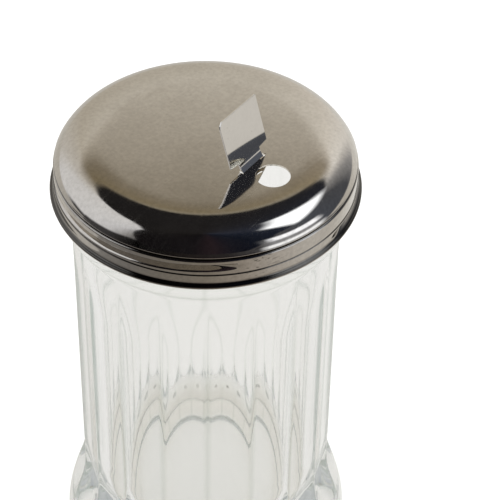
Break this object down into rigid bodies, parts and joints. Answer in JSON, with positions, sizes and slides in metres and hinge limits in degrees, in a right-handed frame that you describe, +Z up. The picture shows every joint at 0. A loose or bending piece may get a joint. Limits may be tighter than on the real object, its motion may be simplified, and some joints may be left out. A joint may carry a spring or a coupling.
{
  "type": "sugar pourer",
  "caption": "Fluted clear glass jar with a swollen foot and a steel screw lid: a round pour hole covered by a small bent-sheet flap that swings open.",
  "frame": {"origin": "centre of the jar's underside, on the plane it stands on", "axes": "+Z up along the jar's axis; +X from the axis towards the pour hole in the lid"},
  "size_m": [0.0752, 0.0752, 0.146],
  "materials": {
    "glass": "clear pressed glass with a faint green edge",
    "lid_steel": "polished stainless sheet, satin on the crown and bright on the shoulder, finely scratched",
    "flap_steel": "bright stainless sheet with a sheared edge",
    "ring_liner": "soft off-white liner"
  },
  "bodies": {
    "jar": {"glass_jar": "glass"},
    "ring": {"seal_ring": "ring_liner"},
    "lid": {"lid_shell": "lid_steel"},
    "flap": {"pour_flap": "flap_steel"}
  },
  "joints": [
    {"name": "thread_rise", "type": "slide", "parent": "jar", "child": "ring", "axis": [0, 0, 1], "range_m": [0, 0.0106]},
    {"name": "lid_turn", "type": "hinge", "parent": "ring", "child": "lid", "pos_m": [0, 0, 0.123], "axis": [0, 0, 1], "range_deg": [0, 900]},
    {"name": "flap_swing", "type": "hinge", "parent": "lid", "child": "flap", "pos_m": [0.01485, 0.00045, 0.13239], "axis": [-0.0698, 0.9976, 0], "range_deg": [0, 112]}
  ],
  "couplings": [
    {"joint": "thread_rise", "follows": "lid_turn", "m_per_rad": 0.0006737}
  ]
}
